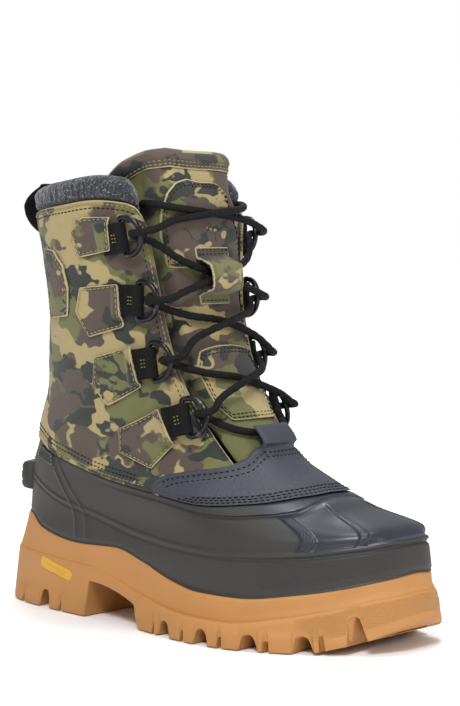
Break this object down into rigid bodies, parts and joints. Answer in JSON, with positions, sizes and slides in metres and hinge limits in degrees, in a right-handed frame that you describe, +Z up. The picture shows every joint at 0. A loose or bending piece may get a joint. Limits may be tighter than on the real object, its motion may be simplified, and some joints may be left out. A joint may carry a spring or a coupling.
{
  "type": "insulated hunting boot",
  "caption": "Right winter boot with rubber shell, camouflage lace-up shaft, felt liner, padded tongue and lugged gum sole.",
  "frame": {"origin": "on the ground under the middle of the boot's box", "axes": "+Z up, toe towards -Y, heel towards +Y, outer side of the foot towards -X"},
  "size_m": [0.1272, 0.3096, 0.284],
  "materials": {
    "gum_rubber": "matte moulded gum rubber",
    "foam": "closed-cell foam",
    "shank_steel": "plain steel",
    "shell_rubber": "satin moulded rubber",
    "board": "fibre board",
    "felt": "thick needled felt",
    "footbed_felt": "pressed felt",
    "fleece": "quilted batting",
    "camo_canvas": "woven canvas with a leaf-litter camouflage print",
    "vamp_leather": "oiled pebbled leather",
    "tan_leather": "nubuck with contrast stitching",
    "patch_leather": "embossed patch",
    "label": "woven label",
    "badge": "moulded badge",
    "webbing": "woven polyester tape",
    "ring_metal": "black plated wire",
    "cord": "round braided lace",
    "lace_tip": "heat-shrunk tip"
  },
  "bodies": {
    "boot": {"outsole": "gum_rubber", "midsole_wrap": "gum_rubber", "midsole_foam": "foam", "shank": "shank_steel", "rubber_shell": "shell_rubber", "insole_board": "board", "felt_liner": "felt", "footbed": "footbed_felt", "shaft_insulation": "fleece", "quarter_outer": "camo_canvas", "quarter_inner": "camo_canvas", "vamp_overlay": "vamp_leather", "tongue": "camo_canvas", "tongue_top_panel": "camo_canvas", "tongue_patch": "camo_canvas", "tongue_lower_panel": "camo_canvas", "lace_keeper": "tan_leather", "side_patch": "patch_leather", "hem_label": "label", "sole_badge": "badge", "pull_loop": "webbing", "webbing_outer_1": "webbing", "patch_outer_1": "camo_canvas", "webbing_outer_2": "webbing", "patch_outer_2": "camo_canvas", "webbing_outer_3": "webbing", "patch_outer_3": "camo_canvas", "webbing_outer_4": "webbing", "patch_outer_4": "camo_canvas", "webbing_inner_1": "webbing", "patch_inner_1": "camo_canvas", "webbing_inner_2": "webbing", "patch_inner_2": "camo_canvas", "webbing_inner_3": "webbing", "patch_inner_3": "camo_canvas", "webbing_inner_4": "webbing", "patch_inner_4": "camo_canvas", "lace": "cord", "lace_tip_outer": "lace_tip", "lace_tip_inner": "lace_tip"},
    "ring_outer_1": {"d_ring_outer_1": "ring_metal"},
    "ring_outer_2": {"d_ring_outer_2": "ring_metal"},
    "ring_outer_3": {"d_ring_outer_3": "ring_metal"},
    "ring_outer_4": {"d_ring_outer_4": "ring_metal"},
    "ring_inner_1": {"d_ring_inner_1": "ring_metal"},
    "ring_inner_2": {"d_ring_inner_2": "ring_metal"},
    "ring_inner_3": {"d_ring_inner_3": "ring_metal"},
    "ring_inner_4": {"d_ring_inner_4": "ring_metal"}
  },
  "joints": [
    {"name": "ring_outer_1_swing", "type": "hinge", "parent": "boot", "child": "ring_outer_1", "pos_m": [-0.05443, 0.02026, 0.231], "axis": [0.1363, -0.125, -0.9828], "range_deg": [-4, 32], "deforming": ["lace"]},
    {"name": "ring_outer_2_swing", "type": "hinge", "parent": "boot", "child": "ring_outer_2", "pos_m": [-0.04832, 0.01303, 0.19375], "axis": [0.0146, 0.0356, -0.9993], "range_deg": [-4, 32], "deforming": ["lace"]},
    {"name": "ring_outer_3_swing", "type": "hinge", "parent": "boot", "child": "ring_outer_3", "pos_m": [-0.04584, 0.00475, 0.1575], "axis": [0.0035, -0.1487, -0.9889], "range_deg": [-4, 32], "deforming": ["lace"]},
    {"name": "ring_outer_4_swing", "type": "hinge", "parent": "boot", "child": "ring_outer_4", "pos_m": [-0.04113, -0.01776, 0.1255], "axis": [-0.0207, -0.2779, -0.9604], "range_deg": [-4, 32], "deforming": ["lace"]},
    {"name": "ring_inner_1_swing", "type": "hinge", "parent": "boot", "child": "ring_inner_1", "pos_m": [0.05279, 0.02026, 0.231], "axis": [0.1363, 0.125, 0.9828], "range_deg": [-4, 32], "deforming": ["lace"]},
    {"name": "ring_inner_2_swing", "type": "hinge", "parent": "boot", "child": "ring_inner_2", "pos_m": [0.04668, 0.01303, 0.19375], "axis": [0.0146, -0.0356, 0.9993], "range_deg": [-4, 32], "deforming": ["lace"]},
    {"name": "ring_inner_3_swing", "type": "hinge", "parent": "boot", "child": "ring_inner_3", "pos_m": [0.04425, 0.00475, 0.1575], "axis": [-0.0119, 0.1471, 0.989], "range_deg": [-4, 32], "deforming": ["lace"]},
    {"name": "ring_inner_4_swing", "type": "hinge", "parent": "boot", "child": "ring_inner_4", "pos_m": [0.04101, -0.01767, 0.1255], "axis": [-0.1027, 0.2719, 0.9568], "range_deg": [-4, 32], "deforming": ["lace"]}
  ]
}
